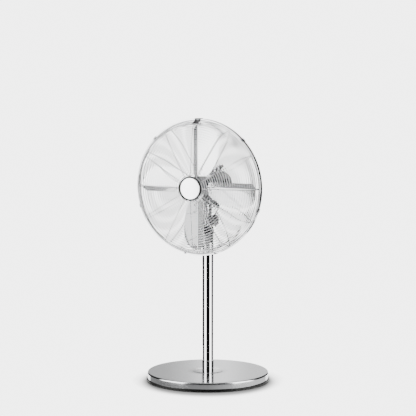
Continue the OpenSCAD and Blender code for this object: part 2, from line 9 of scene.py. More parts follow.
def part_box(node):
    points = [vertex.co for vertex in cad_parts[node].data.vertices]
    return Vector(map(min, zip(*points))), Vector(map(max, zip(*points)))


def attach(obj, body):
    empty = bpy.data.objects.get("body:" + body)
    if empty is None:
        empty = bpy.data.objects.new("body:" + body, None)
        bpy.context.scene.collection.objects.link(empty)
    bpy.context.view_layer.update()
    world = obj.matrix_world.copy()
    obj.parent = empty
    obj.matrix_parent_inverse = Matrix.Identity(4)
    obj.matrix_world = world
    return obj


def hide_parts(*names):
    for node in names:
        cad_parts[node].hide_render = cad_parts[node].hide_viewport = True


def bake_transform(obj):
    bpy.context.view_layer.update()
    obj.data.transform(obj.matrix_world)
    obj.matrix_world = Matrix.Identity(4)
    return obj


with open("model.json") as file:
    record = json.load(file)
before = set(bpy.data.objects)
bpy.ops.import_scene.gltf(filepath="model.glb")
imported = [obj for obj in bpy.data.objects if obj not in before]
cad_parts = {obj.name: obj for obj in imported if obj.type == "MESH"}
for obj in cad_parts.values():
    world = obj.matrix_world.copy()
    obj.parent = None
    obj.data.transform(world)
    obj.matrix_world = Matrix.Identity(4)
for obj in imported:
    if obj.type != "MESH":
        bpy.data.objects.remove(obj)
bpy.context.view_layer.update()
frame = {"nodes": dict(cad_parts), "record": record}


BODY = {}
for body_name, members in frame["record"]["behaviour"]["bodies"].items():
    for member in members:
        BODY[member] = body_name
SLOT = {s["node"]: s["material_slot"] for s in frame["record"]["subparts"]}

# ------------------------------------------------------------------ places
band_lo, band_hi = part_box("rim_band")
RIM_Y = (band_lo[1] + band_hi[1]) / 2
AXIS_Z = (band_lo[2] + band_hi[2]) / 2
RIM_R = (band_hi[0] - band_lo[0]) / 2
POLE_LO, POLE_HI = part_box("outer_pole")
POLE_R = (POLE_HI[0] - POLE_LO[0]) / 2
RING_LO, RING_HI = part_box("base_ring")
RING_R = (RING_HI[0] - RING_LO[0]) / 2
COVER_LO, COVER_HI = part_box("base_cover")
COVER_R = (COVER_HI[0] - COVER_LO[0]) / 2
SKIRT_TOP = COVER_LO[2]
TUBE_LO, TUBE_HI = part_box("inner_tube")
TUBE_R = (TUBE_HI[0] - TUBE_LO[0]) / 2
KNOB_LO, KNOB_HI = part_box("tilt_knob")
TILT_Z = (KNOB_LO[2] + KNOB_HI[2]) / 2
MM = 0.001
SMOOTH_BELOW = math.radians(32)     # faces that meet at less than this are shaded as one curve


def fan(x, y, f):
    """A point given in the plane of the fan and forward of its rim."""
    return Vector((x, RIM_Y - f, AXIS_Z + y))


# ------------------------------------------------------------------ node helpers
def shader_material(name, kind):
    """A material with one shader wired to its output."""
    m = bpy.data.materials.new(name)
    m.use_nodes = True
    tree = m.node_tree
    tree.nodes.clear()
    out = tree.nodes.new("ShaderNodeOutputMaterial")
    shader = tree.nodes.new(kind)
    tree.links.new(shader.outputs[0], out.inputs[0])
    return m, tree, shader


def new_material(name):
    return shader_material(name, "ShaderNodeBsdfPrincipled")


def feed(tree, socket, value):
    """Links a node's output to the socket, or sets the socket to a plain value."""
    if isinstance(value, bpy.types.NodeSocket):
        tree.links.new(value, socket)
    else:
        socket.default_value = value


def operate(tree, kind, operation, values):
    n = tree.nodes.new(kind)
    n.operation = operation
    for socket, value in zip(n.inputs, values):
        feed(tree, socket, value)
    return n.outputs


def math_node(tree, operation, *values):
    return operate(tree, "ShaderNodeMath", operation, values)[0]


def vector_math(tree, operation, *values):
    outputs = operate(tree, "ShaderNodeVectorMath", operation, values)
    return outputs["Value" if operation in ("LENGTH", "DISTANCE") else "Vector"]


def coords(tree, stretch=(1, 1, 1)):
    tc = tree.nodes.new("ShaderNodeTexCoord")
    mp = tree.nodes.new("ShaderNodeMapping")
    mp.inputs["Scale"].default_value = stretch
    tree.links.new(tc.outputs["Object"], mp.inputs["Vector"])
    return mp.outputs["Vector"]


def noise(tree, vector, scale, detail=3.0, rough=0.5):
    n = tree.nodes.new("ShaderNodeTexNoise")
    n.inputs["Scale"].default_value = scale
    n.inputs["Detail"].default_value = detail
    n.inputs["Roughness"].default_value = rough
    tree.links.new(vector, n.inputs["Vector"])
    return n.outputs["Fac"]


def remap(tree, value, lo, hi, from_lo=0.3, from_hi=0.7):
    n = tree.nodes.new("ShaderNodeMapRange")
    n.inputs["From Min"].default_value = from_lo
    n.inputs["From Max"].default_value = from_hi
    n.inputs["To Min"].default_value = lo
    n.inputs["To Max"].default_value = hi
    tree.links.new(value, n.inputs["Value"])
    return n.outputs["Result"]


def ramp(tree, value, stops):
    n = tree.nodes.new("ShaderNodeValToRGB")
    cr = n.color_ramp
    while len(cr.elements) < len(stops):
        cr.elements.new(0.5)
    for el, (pos, col) in zip(cr.elements, stops):
        el.position = pos
        el.color = (*col, 1)
    tree.links.new(value, n.inputs["Fac"])
    return n.outputs["Color"]


def bump(tree, height, strength, distance, bsdf):
    n = tree.nodes.new("ShaderNodeBump")
    n.inputs["Strength"].default_value = strength
    n.inputs["Distance"].default_value = distance
    tree.links.new(height, n.inputs["Height"])
    tree.links.new(n.outputs["Normal"], bsdf.inputs["Normal"])


def dress(tree, bsdf, colour, rough, metallic=0.0):
    tree.links.new(colour, bsdf.inputs["Base Color"])
    tree.links.new(rough, bsdf.inputs["Roughness"])
    bsdf.inputs["Metallic"].default_value = metallic


def shade(c, k):
    return tuple(v * k for v in c)


# ------------------------------------------------------------------ materials
def metal(name, tint, rough=(0.05, 0.10), stretch=(1, 1, 1), grain=900.0, grain_bump=0.02,
          smear=14.0, tone=0.06):
    """Plated or polished metal: hazy patches, fine grain and faint handling marks."""
    m, t, b = new_material(name)
    patches = noise(t, coords(t), smear, 4.0, 0.6)
    fine = noise(t, coords(t, stretch), grain, 2.0, 0.5)
    haze = math_node(t, "MULTIPLY_ADD", fine, 0.35, patches)
    dress(t, b, ramp(t, patches, [(0.30, shade(tint, 1 - tone)), (0.70, tint)]),
          remap(t, haze, rough[0], rough[1], 0.45, 0.95), 1.0)
    bump(t, fine, grain_bump, 0.0002, b)
    return m


def from_centre(tree, centre):
    """The object's own coordinates, and the same measured from a point."""
    tc = tree.nodes.new("ShaderNodeTexCoord")
    return tc.outputs["Object"], vector_math(tree, "SUBTRACT", tc.outputs["Object"], centre)


def turned_metal(name, tint, rough, centre, axis, pitch=2600.0, strength=0.05, tone=0.05):
    """Metal brushed in circles round an axis."""
    m, t, b = new_material(name)
    here, off = from_centre(t, centre)
    flat = vector_math(t, "MULTIPLY", off, [0.0 if a else 1.0 for a in axis])
    line = t.nodes.new("ShaderNodeTexNoise")
    line.noise_dimensions = "1D"
    line.inputs["Scale"].default_value = pitch
    line.inputs["Detail"].default_value = 3.0
    t.links.new(vector_math(t, "LENGTH", flat), line.inputs["W"])
    patches = noise(t, here, 9.0, 4.0, 0.6)
    haze = math_node(t, "MULTIPLY_ADD", line.outputs["Fac"], 0.5, patches)
    dress(t, b, ramp(t, patches, [(0.30, shade(tint, 1 - tone)), (0.70, tint)]),
          remap(t, haze, rough[0], rough[1], 0.5, 1.0), 1.0)
    bump(t, line.outputs["Fac"], strength, 0.0002, b)
    return m


def plastic(name, tint, rough=(0.38, 0.52), grain=1500.0, strength=0.12, smear=25.0):
    """Moulded plastic or rubber with a spark-eroded texture and slightly shiny patches."""
    m, t, b = new_material(name)
    v = coords(t)
    fine = noise(t, v, grain, 2.0, 0.6)
    patches = noise(t, v, smear, 3.0, 0.5)
    dress(t, b, ramp(t, patches, [(0.30, shade(tint, 0.8)), (0.72, tint)]),
          remap(t, patches, rough[0], rough[1]))
    bump(t, fine, strength, 0.0002, b)
    b.inputs["Specular IOR Level"].default_value = 0.3
    return m


def painted(name, tint, rough=(0.30, 0.42)):
    """Satin powder coat with a fine orange-peel skin and thin wear."""
    m, t, b = new_material(name)
    v = coords(t)
    peel = noise(t, v, 420.0, 2.0, 0.5)
    patches = noise(t, v, 18.0, 5.0, 0.65)
    dress(t, b, ramp(t, patches, [(0.28, shade(tint, 0.75)), (0.60, tint), (0.74, shade(tint, 1.25))]),
          remap(t, patches, rough[0], rough[1]), 0.35)
    bump(t, peel, 0.10, 0.0003, b)
    return m


def casting(name, tint, metallic, rough, grain=300.0, strength=0.35):
    """Rough cast metal: lumps of grain under uneven patches."""
    m, t, b = new_material(name)
    v = coords(t)
    lumps = noise(t, v, grain, 5.0, 0.65)
    patches = noise(t, v, 20.0, 3.0, 0.5)
    dress(t, b, ramp(t, patches, [(0.30, shade(tint, 0.7)), (0.70, tint)]),
          remap(t, lumps, rough[0], rough[1]), metallic)
    bump(t, lumps, strength, 0.0004, b)
    return m


def stacked(name, tint, axis):
    """A pack of thin sheet: fine lines square to the shaft."""
    m, t, b = new_material(name)
    scale = [900.0 if a else 30.0 for a in axis]
    lines = noise(t, coords(t, scale), 1.0, 2.0, 0.5)
    dress(t, b, ramp(t, lines, [(0.35, shade(tint, 0.45)), (0.60, tint)]),
          remap(t, lines, 0.55, 0.35), 0.8)
    bump(t, lines, 0.3, 0.0004, b)
    return m


def windings(name, tint, centre):
    """Wound wire: close rings round the shaft."""
    m, t, b = new_material(name)
    wave = t.nodes.new("ShaderNodeTexWave")
    wave.wave_type = "RINGS"
    wave.rings_direction = "Y"
    wave.inputs["Scale"].default_value = 260.0
    wave.inputs["Distortion"].default_value = 1.5
    wave.inputs["Detail"].default_value = 2.0
    t.links.new(from_centre(t, centre)[1], wave.inputs["Vector"])
    dress(t, b, ramp(t, wave.outputs["Fac"], [(0.2, shade(tint, 0.35)), (0.7, tint)]),
          remap(t, wave.outputs["Fac"], 0.45, 0.25, 0, 1), 0.7)
    bump(t, wave.outputs["Fac"], 0.6, 0.0004, b)
    return m


HUB = tuple(fan(0, 0, 0))
MAT = {
    "chrome": metal("mat_chrome", (0.80, 0.805, 0.81), (0.012, 0.03), grain_bump=0.001),
    "wire": metal("mat_wire", (0.44, 0.443, 0.447), (0.10, 0.20), grain=1500.0, grain_bump=0.05),
    "band": turned_metal("mat_band", (0.80, 0.80, 0.81), (0.08, 0.16), HUB, (0, 1, 0), 1800.0, 0.03),
    "base": turned_metal("mat_base", (0.655, 0.662, 0.675), (0.10, 0.17), (0, 0, 0), (0, 0, 1),
                         2600.0, 0.03, 0.03),
    "clip": metal("mat_clip", (0.20, 0.20, 0.205), (0.2, 0.32), grain=700.0, grain_bump=0.05),
    "steel": metal("mat_steel", (0.62, 0.62, 0.63), (0.16, 0.30), grain=700.0, grain_bump=0.06),
    "blade_alu": metal("mat_blade", (0.90, 0.905, 0.91), (0.08, 0.15), (1, 1, 1), 1100.0, 0.03, 10.0, 0.04),
    # The cast aluminium grey is darkened to 0.25 as painted shade: it stands in for the shade on the blade
    # hub and the clutch boss.
    "cast_alu": casting("mat_cast_alu_painted_shade", (0.25, 0.25, 0.255), 0.9, (0.35, 0.55), 500.0, 0.2),
    "dark_metal": painted("mat_shell", (0.045, 0.045, 0.047)),
    "black_plastic": plastic("mat_black", (0.005, 0.005, 0.0052)),
    "black_rubber": plastic("mat_rubber", (0.006, 0.006, 0.006), (0.62, 0.80), 900.0, 0.2),
    "iron": casting("mat_iron", (0.06, 0.06, 0.062), 0.5, (0.6, 0.85)),
    "white_plastic": plastic("mat_nylon", (0.72, 0.71, 0.68), (0.35, 0.5), 700.0, 0.06),
    "copper": windings("mat_copper", (0.55, 0.22, 0.10), HUB),
    "bronze": metal("mat_bronze", (0.55, 0.38, 0.18), (0.25, 0.4), grain=1200.0, grain_bump=0.1),
    "lamination": stacked("mat_lamination", (0.42, 0.42, 0.43), (0, 1, 0)),
    "badge": turned_metal("mat_badge", (0.90, 0.90, 0.905), (0.24, 0.34), HUB, (0, 1, 0), 2600.0, 0.06, 0.03),
}

# ------------------------------------------------------------------ mesh helpers
def place(obj, body, material, node_name):
    """Gives a piece its material and body, and hides the CAD node that it stands for."""
    obj.data.materials.clear()
    obj.data.materials.append(MAT[material])
    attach(obj, body)
    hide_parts(node_name)


def mesh_object(name, verts, faces, crease=SMOOTH_BELOW):
    me = bpy.data.meshes.new(name)
    me.from_pydata([tuple(v) for v in verts], [], faces)
    me.validate()
    bm = bmesh.new()
    bm.from_mesh(me)
    bmesh.ops.recalc_face_normals(bm, faces=bm.faces)
    bm.to_mesh(me)
    bm.free()
    me.shade_smooth()
    me.set_sharp_from_angle(angle=crease)
    o = bpy.data.objects.new(name, me)
    bpy.context.scene.collection.objects.link(o)
    return o


def apply_modifiers(o):
    deps = bpy.context.evaluated_depsgraph_get()
    me = bpy.data.meshes.new_from_object(o.evaluated_get(deps))
    o.modifiers.clear()
    old = o.data
    o.data = me
    if old.users == 0:
        bpy.data.meshes.remove(old)


def bevelled(o, width, angle=35):
    mod = o.modifiers.new("soft_edges", "BEVEL")
    mod.width = width
    mod.segments = 2
    mod.limit_method = "ANGLE"
    mod.angle_limit = math.radians(angle)
    mod.use_clamp_overlap = True
    mod.harden_normals = False
    apply_modifiers(o)
    o.data.shade_smooth()
    o.data.set_sharp_from_angle(angle=SMOOTH_BELOW)


def softened(node_name, material, width):
    """A copy of a CAD piece with its edges broken, as a real pressing or moulding has them."""
    me = frame["nodes"][node_name].data.copy()
    me.name = node_name + "_look"
    bm = bmesh.new()
    bm.from_mesh(me)
    bmesh.ops.remove_doubles(bm, verts=bm.verts, dist=2e-6)
    bmesh.ops.dissolve_limit(bm, angle_limit=math.radians(0.6), verts=bm.verts, edges=bm.edges)
    bm.to_mesh(me)
    bm.free()
    o = bpy.data.objects.new(node_name + "_look", me)
    bpy.context.scene.collection.objects.link(o)
    bevelled(o, width)
    place(o, BODY[node_name], material, node_name)


def lathe(name, profile, matrix=Matrix(), steps=192, closed=False, crease=SMOOTH_BELOW):
    """Turns a list of (radius, height) points round z."""
    verts, faces, rows = [], [], []
    for r, z in profile:
        if r < 1e-7:
            rows.append([len(verts)])
            verts.append(matrix @ Vector((0, 0, z)))
        else:
            rows.append(list(range(len(verts), len(verts) + steps)))
            for k in range(steps):
                a = 2 * math.pi * k / steps
                verts.append(matrix @ Vector((r * math.cos(a), r * math.sin(a), z)))
    pairs = list(zip(rows[:-1], rows[1:]))
    if closed:
        pairs.append((rows[-1], rows[0]))
    for a, b in pairs:
        for k in range(steps):
            j = (k + 1) % steps
            if len(a) == 1 and len(b) == 1:
                continue
            if len(a) == 1:
                faces.append([a[0], b[k], b[j]])
            elif len(b) == 1:
                faces.append([a[k], a[j], b[0]])
            else:
                faces.append([a[k], a[j], b[j], b[k]])
    return mesh_object(name, verts, faces, crease)


def rounded(points, radius, steps=5):
    """A closed (r, z) outline with every corner rounded a little."""
    out = []
    n = len(points)
    for i in range(n):
        a, b, c = (Vector(points[(i + j) % n]) for j in (-1, 0, 1))
        ra = radius[i] if isinstance(radius, (list, tuple)) else radius
        if ra <= 0:
            out.append(tuple(b))
            continue
        u, v = (a - b).normalized(), (c - b).normalized()
        half = math.acos(max(-1, min(1, u.dot(v)))) / 2
        back = min(ra / math.tan(half), 0.45 * (a - b).length, 0.45 * (c - b).length)
        p, q = b + u * back, b + v * back
        for s in range(steps + 1):
            w = s / steps
            out.append(tuple(p.lerp(b, w).lerp(b.lerp(q, w), w)))
    return out


FAN_TURN = Matrix.Translation(Vector((0, RIM_Y, AXIS_Z))) @ Matrix.Rotation(math.radians(90), 4, "X")


def tube_along(points, radius, sides, closed=False):
    """Vertices and faces of a round tube; the frame is carried along without twisting."""
    pts = [Vector(p) for p in points]
    n = len(pts)
    verts, faces = [], []
    side = None
    for i in range(n):
        a = pts[i - 1] if (i > 0 or closed) else pts[0]
        b = pts[(i + 1) % n] if (i < n - 1 or closed) else pts[-1]
        t = (b - a).normalized()
        if side is None:
            side = t.orthogonal().normalized()
        side = (side - t * side.dot(t)).normalized()
        up = t.cross(side)
        for k in range(sides):
            w = 2 * math.pi * k / sides
            verts.append(pts[i] + radius * (math.cos(w) * side + math.sin(w) * up))
    rows = n if closed else n - 1
    for i in range(rows):
        for k in range(sides):
            j = (k + 1) % sides
            p, q = i * sides, ((i + 1) % n) * sides
            faces.append([p + k, p + j, q + j, q + k])
    if not closed:
        faces.append(list(range(sides))[::-1])
        faces.append([(n - 1) * sides + k for k in range(sides)])
    return verts, faces


def join(parts):
    verts, faces = [], []
    for v, f in parts:
        base = len(verts)
        verts += v
        faces += [[i + base for i in face] for face in f]
    return verts, faces


# ------------------------------------------------------------------ cage
def walk(pts, d):
    """The point a distance d along a line of points."""
    for i in range(len(pts) - 1):
        a, b = Vector(pts[i]), Vector(pts[i + 1])
        s = (b - a).length
        if d <= s or i == len(pts) - 2:
            return tuple(a + (b - a) * (d / s))
        d -= s


def length_of(pts):
    return sum((Vector(b) - Vector(a)).length for a, b in zip(pts[:-1], pts[1:]))


def chaikin(pts):
    """Rounds a line's corners by cutting them twice; its ends stay."""
    for _ in range(2):
        new = [pts[0]]
        for a, b in zip(pts[:-1], pts[1:]):
            a, b = Vector(a), Vector(b)
            new += [tuple(a.lerp(b, 0.2)), tuple(a.lerp(b, 0.8))]
        new.append(pts[-1])
        pts = new
    return pts


WIRE = 1.15 * MM
SPOKE = 1.35 * MM
SPOKE_DEPTH = 1.86 * MM     # from a ring wire's centre in to a spoke's centre
PITCH = 7.9 * MM
SPOKES = 12
EDGE_R, EDGE_WIRE = 215 * MM, 1.95 * MM     # the thick ring at the open edge of each half
EDGE_GAP = 3.4 * MM                         # how far it lies from the plane between the halves
PLATE_BACK, PLATE_FRONT = -43.85 * MM, -42.4 * MM      # faces of the pressed plate at the back
# Half sections of the cage: radius and distance forward of the rim, in mm
front_face = [(38.6, 62), (110, 57.5), (160, 51.5), (195, 45)]
front_wall = [(195, 45), (201, 37), (205.5, 22), (214.9, 5)]
rear_face = [(46, -43.4), (102, -40), (165, -36)]
rear_wall = [(165, -36), (207, -14), (214.9, -5)]
front_face, front_wall, rear_face, rear_wall = (
    [(r * MM, f * MM) for r, f in pts] for pts in (front_face, front_wall, rear_face, rear_wall))


def ring_wire(r, f, radius, sides=8):
    steps = 72 if r < 0.1 else 120
    turns = [2 * math.pi * k / steps for k in range(steps)]
    pts = [fan(r * math.cos(a), r * math.sin(a), f) for a in turns]
    return tube_along(pts, radius, sides, closed=True)


def cage_part(name, path, first, count, inward, extra=()):
    """Ring wires along a half section, the spokes inside them, and any extra rings."""
    parts = [ring_wire(*walk(path, first + i * PITCH), WIRE) for i in range(count)]
    off = Vector(inward).normalized() * SPOKE_DEPTH
    line = chaikin([tuple(Vector(p) + off) for p in path])
    for k in range(SPOKES):
        a = 2 * math.pi * k / SPOKES
        pts = [fan(r * math.cos(a), r * math.sin(a), f) for r, f in line]
        parts.append(tube_along(pts, SPOKE, 8))
    parts += [ring_wire(r, f, w, 10) for r, f, w in extra]
    return mesh_object(name, *join(parts), crease=math.radians(60))


def make_cage():
    part = cage_part("front_face_wires", front_face, 0.5 * PITCH,
                     round(length_of(front_face) / PITCH), (0, -1))
    place(part, "head", "wire", "front_guard_face")
    part = cage_part("front_wall_wires", front_wall, 0.55 * PITCH, 5, (-0.92, -0.38),
                     [(EDGE_R, EDGE_GAP, EDGE_WIRE)])
    place(part, "head", "wire", "front_guard_side")
    part = cage_part("rear_wall_wires", rear_wall, 0.45 * PITCH, 7, (-0.5, 0.85),
                     [(EDGE_R, -EDGE_GAP, EDGE_WIRE)])
    place(part, "head", "wire", "rear_guard_side")
    part = cage_part("rear_face_wires", rear_face, 12 * MM,
                     int((length_of(rear_face) - 8 * MM) / PITCH), (0, 1))
    plate = lathe("rear_plate", rounded([
        (12.3 * MM, PLATE_BACK), (49 * MM, PLATE_BACK), (49 * MM, PLATE_FRONT), (46.5 * MM, PLATE_FRONT),
        (44.5 * MM, -42.9 * MM), (30 * MM, -42.9 * MM), (28 * MM, PLATE_FRONT), (12.3 * MM, PLATE_FRONT)],
        0.5 * MM, 3), FAN_TURN, 96, closed=True)
    merge(part, plate)
    place(part, "head", "wire", "rear_guard_face")


def merge(a, b):
    """Adds b's mesh to a's and removes b."""
    bm = bmesh.new()
    bm.from_mesh(a.data)
    bm.from_mesh(b.data)
    bm.to_mesh(a.data)
    bm.free()
    old = b.data
    bpy.data.objects.remove(b)
    bpy.data.meshes.remove(old)
    a.data.shade_smooth()
    a.data.set_sharp_from_angle(angle=math.radians(50))


make_cage()

# Rim band: a rolled channel with low lips, and a shallow groove between them
BAND_HALF, BAND_SIDE = 7.4 * MM, 6.2 * MM       # half its width, outside and inside
BAND_BORE, BAND_WEB = 216.5 * MM, 218.8 * MM    # inner radius of its sides and of its middle
BAND_GROOVE = RIM_R - 0.2 * MM
band = lathe("rim_band_look", rounded([
    (BAND_BORE, -BAND_HALF), (RIM_R, -BAND_HALF), (RIM_R, -3.2 * MM), (BAND_GROOVE, -2.6 * MM),
    (BAND_GROOVE, 2.6 * MM), (RIM_R, 3.2 * MM), (RIM_R, BAND_HALF), (BAND_BORE, BAND_HALF),
    (BAND_BORE, BAND_SIDE), (BAND_WEB, BAND_SIDE), (BAND_WEB, -BAND_SIDE), (BAND_BORE, -BAND_SIDE)],
    [0.5 * MM, 1.1 * MM, 0.6 * MM, 0.6 * MM, 0.6 * MM, 0.6 * MM, 1.1 * MM, 0.5 * MM,
     0.5 * MM, 0.6 * MM, 0.6 * MM, 0.5 * MM], 4), FAN_TURN, 288, closed=True)
place(band, "head", "band", "rim_band")

# Badge: a black cup with a domed disc in it
CUP_OUT, CUP_IN = 38.9 * MM, 33.9 * MM
CUP_BACK, CUP_FLOOR, CUP_LIP = 58.0 * MM, 59.5 * MM, 67.1 * MM
badge_rim = lathe("badge_ring_look", rounded([
    (0.0, CUP_BACK), (CUP_OUT, CUP_BACK), (CUP_OUT, CUP_LIP), (CUP_IN, CUP_LIP), (CUP_IN, CUP_FLOOR),
    (0.0, CUP_FLOOR)],
    [0, 1.4 * MM, 1.4 * MM, 1.4 * MM, 0.4 * MM, 0], 5), FAN_TURN, 144)
place(badge_rim, "head", "black_plastic", "badge_ring")

BADGE_R = 33.55 * MM
BADGE_TOP, BADGE_DROP = 65.2 * MM, 0.9 * MM     # height of the dome's middle, and its fall to the edge
dome = [(0.0, BADGE_TOP)]
for i in range(1, 13):
    r = BADGE_R * i / 12
    dome.append((r, BADGE_TOP - BADGE_DROP * (i / 12) ** 2))
dome += [(BADGE_R, 63.4 * MM), (BADGE_R, 59.7 * MM), (0.0, 59.7 * MM)]
badge = lathe("badge_disc_look", dome, FAN_TURN, 144)
place(badge, "head", "badge", "badge_disc")

# ------------------------------------------------------------------ blades
WIDE = math.tan(math.radians(25))       # slope of the wide side of the fold
NARROW = math.tan(math.radians(23))     # slope of the narrow side
SHEET = 1.2 * MM
CREASE = 10 * MM                        # how far the fold stands forward of the rim's middle
BELLY, TIP, ROOT = 140 * MM, 201.5 * MM, 36 * MM    # radii of the widest place, the tip and the root
WIDTH, BACK = 62.5 * MM, 18 * MM                    # reach of the wide and the narrow side


def blade_span(x):
    """Where the blade starts and ends along its radius, at a distance x across it."""
    if x >= 0:
        c = min(1.0, x / WIDTH)
        high = BELLY + (TIP - BELLY) * max(0.0, 1 - c ** 2.4) ** (1 / 2.4)
        low = BELLY - 114 * MM * math.sqrt(max(0.0, 1 - c * c))
        return max(ROOT, low), high
    c = min(1.0, -x / BACK)
    high = TIP - 15.5 * MM * c ** 2.2
    low = ROOT + 5 * MM * c ** 3
    return low, high


def blade_height(x):
    """Height of the folded sheet across the blade, with a soft fold at x = 0."""
    soft = 2.0 * MM
    if x >= soft:
        z = -x * WIDE
    elif x <= -soft:
        z = x * NARROW
    else:
        w = (x + soft) / (2 * soft)
        a, b = -soft * NARROW, -soft * WIDE
        z = (1 - w) ** 2 * a + w * w * b
    return z - 0.02 * MM


def make_blade(k, node_name):
    """A folded sheet blade: a grid of points for its front, another for its back, and an edge."""
    xs = [-BACK + 0.05 * MM, -16.5 * MM, -14 * MM, -10 * MM, -6 * MM]
    xs += [v * MM for v in (-2, -1.3, -0.6, 0, 0.6, 1.3, 2)]
    xs += [WIDTH * math.sin(math.radians(a)) for a in range(5, 90, 5)] + [WIDTH * 0.9995]
    rows = 26
    drop = SHEET / math.cos(math.radians(24))
    verts, faces = [], []
    for layer in (0, 1):
        for x in xs:
            lo, hi = blade_span(x)
            for j in range(rows + 1):
                w = 0.5 - 0.5 * math.cos(math.pi * j / rows)
                verts.append((x, lo + (hi - lo) * w, CREASE + blade_height(x) - layer * drop))
    cols = len(xs)
    size = cols * (rows + 1)

    def at(layer, i, j):
        return layer * size + i * (rows + 1) + j

    for i in range(cols - 1):
        for j in range(rows):
            faces.append([at(0, i, j), at(0, i + 1, j), at(0, i + 1, j + 1), at(0, i, j + 1)])
            faces.append([at(1, i, j), at(1, i, j + 1), at(1, i + 1, j + 1), at(1, i + 1, j)])
    edge = [(i, 0) for i in range(cols)] + [(cols - 1, j) for j in range(1, rows + 1)]
    edge += [(i, rows) for i in range(cols - 2, -1, -1)] + [(0, j) for j in range(rows - 1, 0, -1)]
    for (a, b), (c, d) in zip(edge, edge[1:] + edge[:1]):
        faces.append([at(0, a, b), at(1, a, b), at(1, c, d), at(0, c, d)])
    turn = Matrix.Rotation(-2 * math.pi * k / 4, 4, "Z")
    verts = [FAN_TURN @ turn @ Vector(v) for v in verts]
    o = mesh_object(node_name + "_look", verts, faces)
    bevelled(o, 0.35 * MM, 50)
    place(o, BODY[node_name], "blade_alu", node_name)


for k in range(4):
    make_blade(k, "blade_%d" % (k + 1))

# ------------------------------------------------------------------ base and pole
PLATE = 1.2 * MM        # thickness of the cover's sheet
BEND = 5 * MM           # its outer corner
PRESS = 0.8 * MM        # how far the middle stands above the rest
top = COVER_HI[2] - PRESS
turns = [math.radians(6 * i) for i in range(16)]
fillet = [(COVER_R - BEND + BEND * math.cos(a), top - BEND + BEND * math.sin(a)) for a in turns]
cover = [(COVER_R, SKIRT_TOP)] + fillet
cover += [(170 * MM, top), (120 * MM, top), (70 * MM, top)]
cover += [(50.5 * MM, top), (49.6 * MM, top + 0.15 * MM), (48.9 * MM, top + 0.6 * MM)]
cover += [(48.2 * MM, top + PRESS)]
cover += [(19 * MM, top + PRESS), (6.4 * MM, top + PRESS), (6.4 * MM, top - PLATE)]
inner = [(r - PLATE, z - 1.0 * MM) for r, z in fillet[::-1]]
cover += [(150 * MM, top - PLATE)] + inner + [(COVER_R - PLATE, SKIRT_TOP)]
base_cover = lathe("base_cover_look", cover, steps=256, closed=True, crease=math.radians(40))
place(base_cover, "stand", "base", "base_cover")

base_ring = lathe("base_ring_look", rounded([
    (30 * MM, 2 * MM), (RING_R - 12 * MM, 2 * MM), (RING_R - 11 * MM, 1 * MM), (RING_R - 0.6 * MM, 1 * MM),
    (RING_R, 1.6 * MM), (RING_R, SKIRT_TOP - 1 * MM), (RING_R - 1 * MM, SKIRT_TOP),
    (RING_R - 4 * MM, SKIRT_TOP), (RING_R - 4 * MM, SKIRT_TOP + 1 * MM),
    (RING_R - 8 * MM, SKIRT_TOP + 1 * MM), (RING_R - 8 * MM, 5.2 * MM), (30 * MM, 5.2 * MM)],
    0.35 * MM, 3), steps=256, closed=True)
place(base_ring, "stand", "black_plastic", "base_ring")


def pipe(name, radius, low, high, steps):
    """A thin tube; the points just inside its ends keep the long wall's shading straight."""
    bore, lip, soft = radius - 1.2 * MM, 2 * MM, 0.3 * MM
    outline = rounded([
        (bore, low), (radius, low), (radius, low + lip), (radius, high - lip), (radius, high), (bore, high),
        (bore, high - lip), (bore, low + lip)], [soft, soft, 0, 0, soft, soft, 0, 0], 3)
    return lathe(name, outline, steps=steps, closed=True)


pole = pipe("outer_pole_look", POLE_R, POLE_LO[2], POLE_HI[2], 128)
place(pole, "stand", "chrome", "outer_pole")

tube = pipe("inner_tube_look", TUBE_R, TUBE_LO[2], TUBE_HI[2], 96)
place(tube, "mast", "chrome", "inner_tube")

FOOT_CIRCLE = 172 * MM      # radius of the circle that the feet stand on


def feet():
    """Six rubber feet, joined into one piece."""
    outline = rounded([
        (0, 0.35 * MM), (5 * MM, 0.35 * MM), (5.6 * MM, 0), (8.6 * MM, 0), (9 * MM, 0.6 * MM),
        (9 * MM, 2 * MM), (0, 2 * MM)], [0, 0.2 * MM, 0.2 * MM, 0.3 * MM, 0.2 * MM, 0.2 * MM, 0], 3)
    pads = []
    for i in range(6):
        a = math.radians(30 + 60 * i)
        at = Matrix.Translation(Vector((FOOT_CIRCLE * math.cos(a), FOOT_CIRCLE * math.sin(a), 0)))
        pads.append(lathe("base_feet_look", outline, at, 40))
    for pad in pads[1:]:
        merge(pads[0], pad)
    return pads[0]


place(feet(), "stand", "black_rubber", "base_feet")

# ------------------------------------------------------------------ softened CAD pieces
# The last number is the width of the softened edge, in mm
for name, material, width in [
        ("height_collar", "black_plastic", 0.35), ("pole_bush", "black_plastic", 0.2),
        ("cord_gland", "black_rubber", 0.4), ("sway_arm", "steel", 0.3), ("neck_knuckle", "chrome", 0.5),
        ("lead_gland_neck", "black_rubber", 0.4), ("tilt_yoke", "chrome", 0.6),
        ("tilt_bolt", "steel", 0.5), ("tilt_washers", "steel", 0.25), ("tilt_knob", "black_plastic", 0.8),
        ("swivel_bracket", "chrome", 1.0), ("lead_gland_head", "black_rubber", 0.4),
        ("motor_shell", "dark_metal", 0.3), ("rear_cover", "chrome", 0.3), ("cover_screws", "steel", 0.4),
        ("clutch_boss", "cast_alu", 0.4), ("speed_pod", "chrome", 0.7),
        ("clutch_knob", "black_plastic", 0.7), ("speed_knob", "black_plastic", 0.5),
        ("crank_arm", "steel", 0.4), ("sway_link", "steel", 0.3), ("clutch_shaft", "steel", 0.4),
        ("guard_nut", "black_plastic", 0.5), ("rim_clips", "clip", 0.25), ("top_clip", "clip", 0.25),
        ("blade_hub", "cast_alu", 0.3), ("blade_rivets", "steel", 0.3), ("blade_nut", "black_plastic", 0.8)]:
    softened(name, material, width * MM)

# ------------------------------------------------------------------ motor lead
LEAD_R = 2.15 * MM
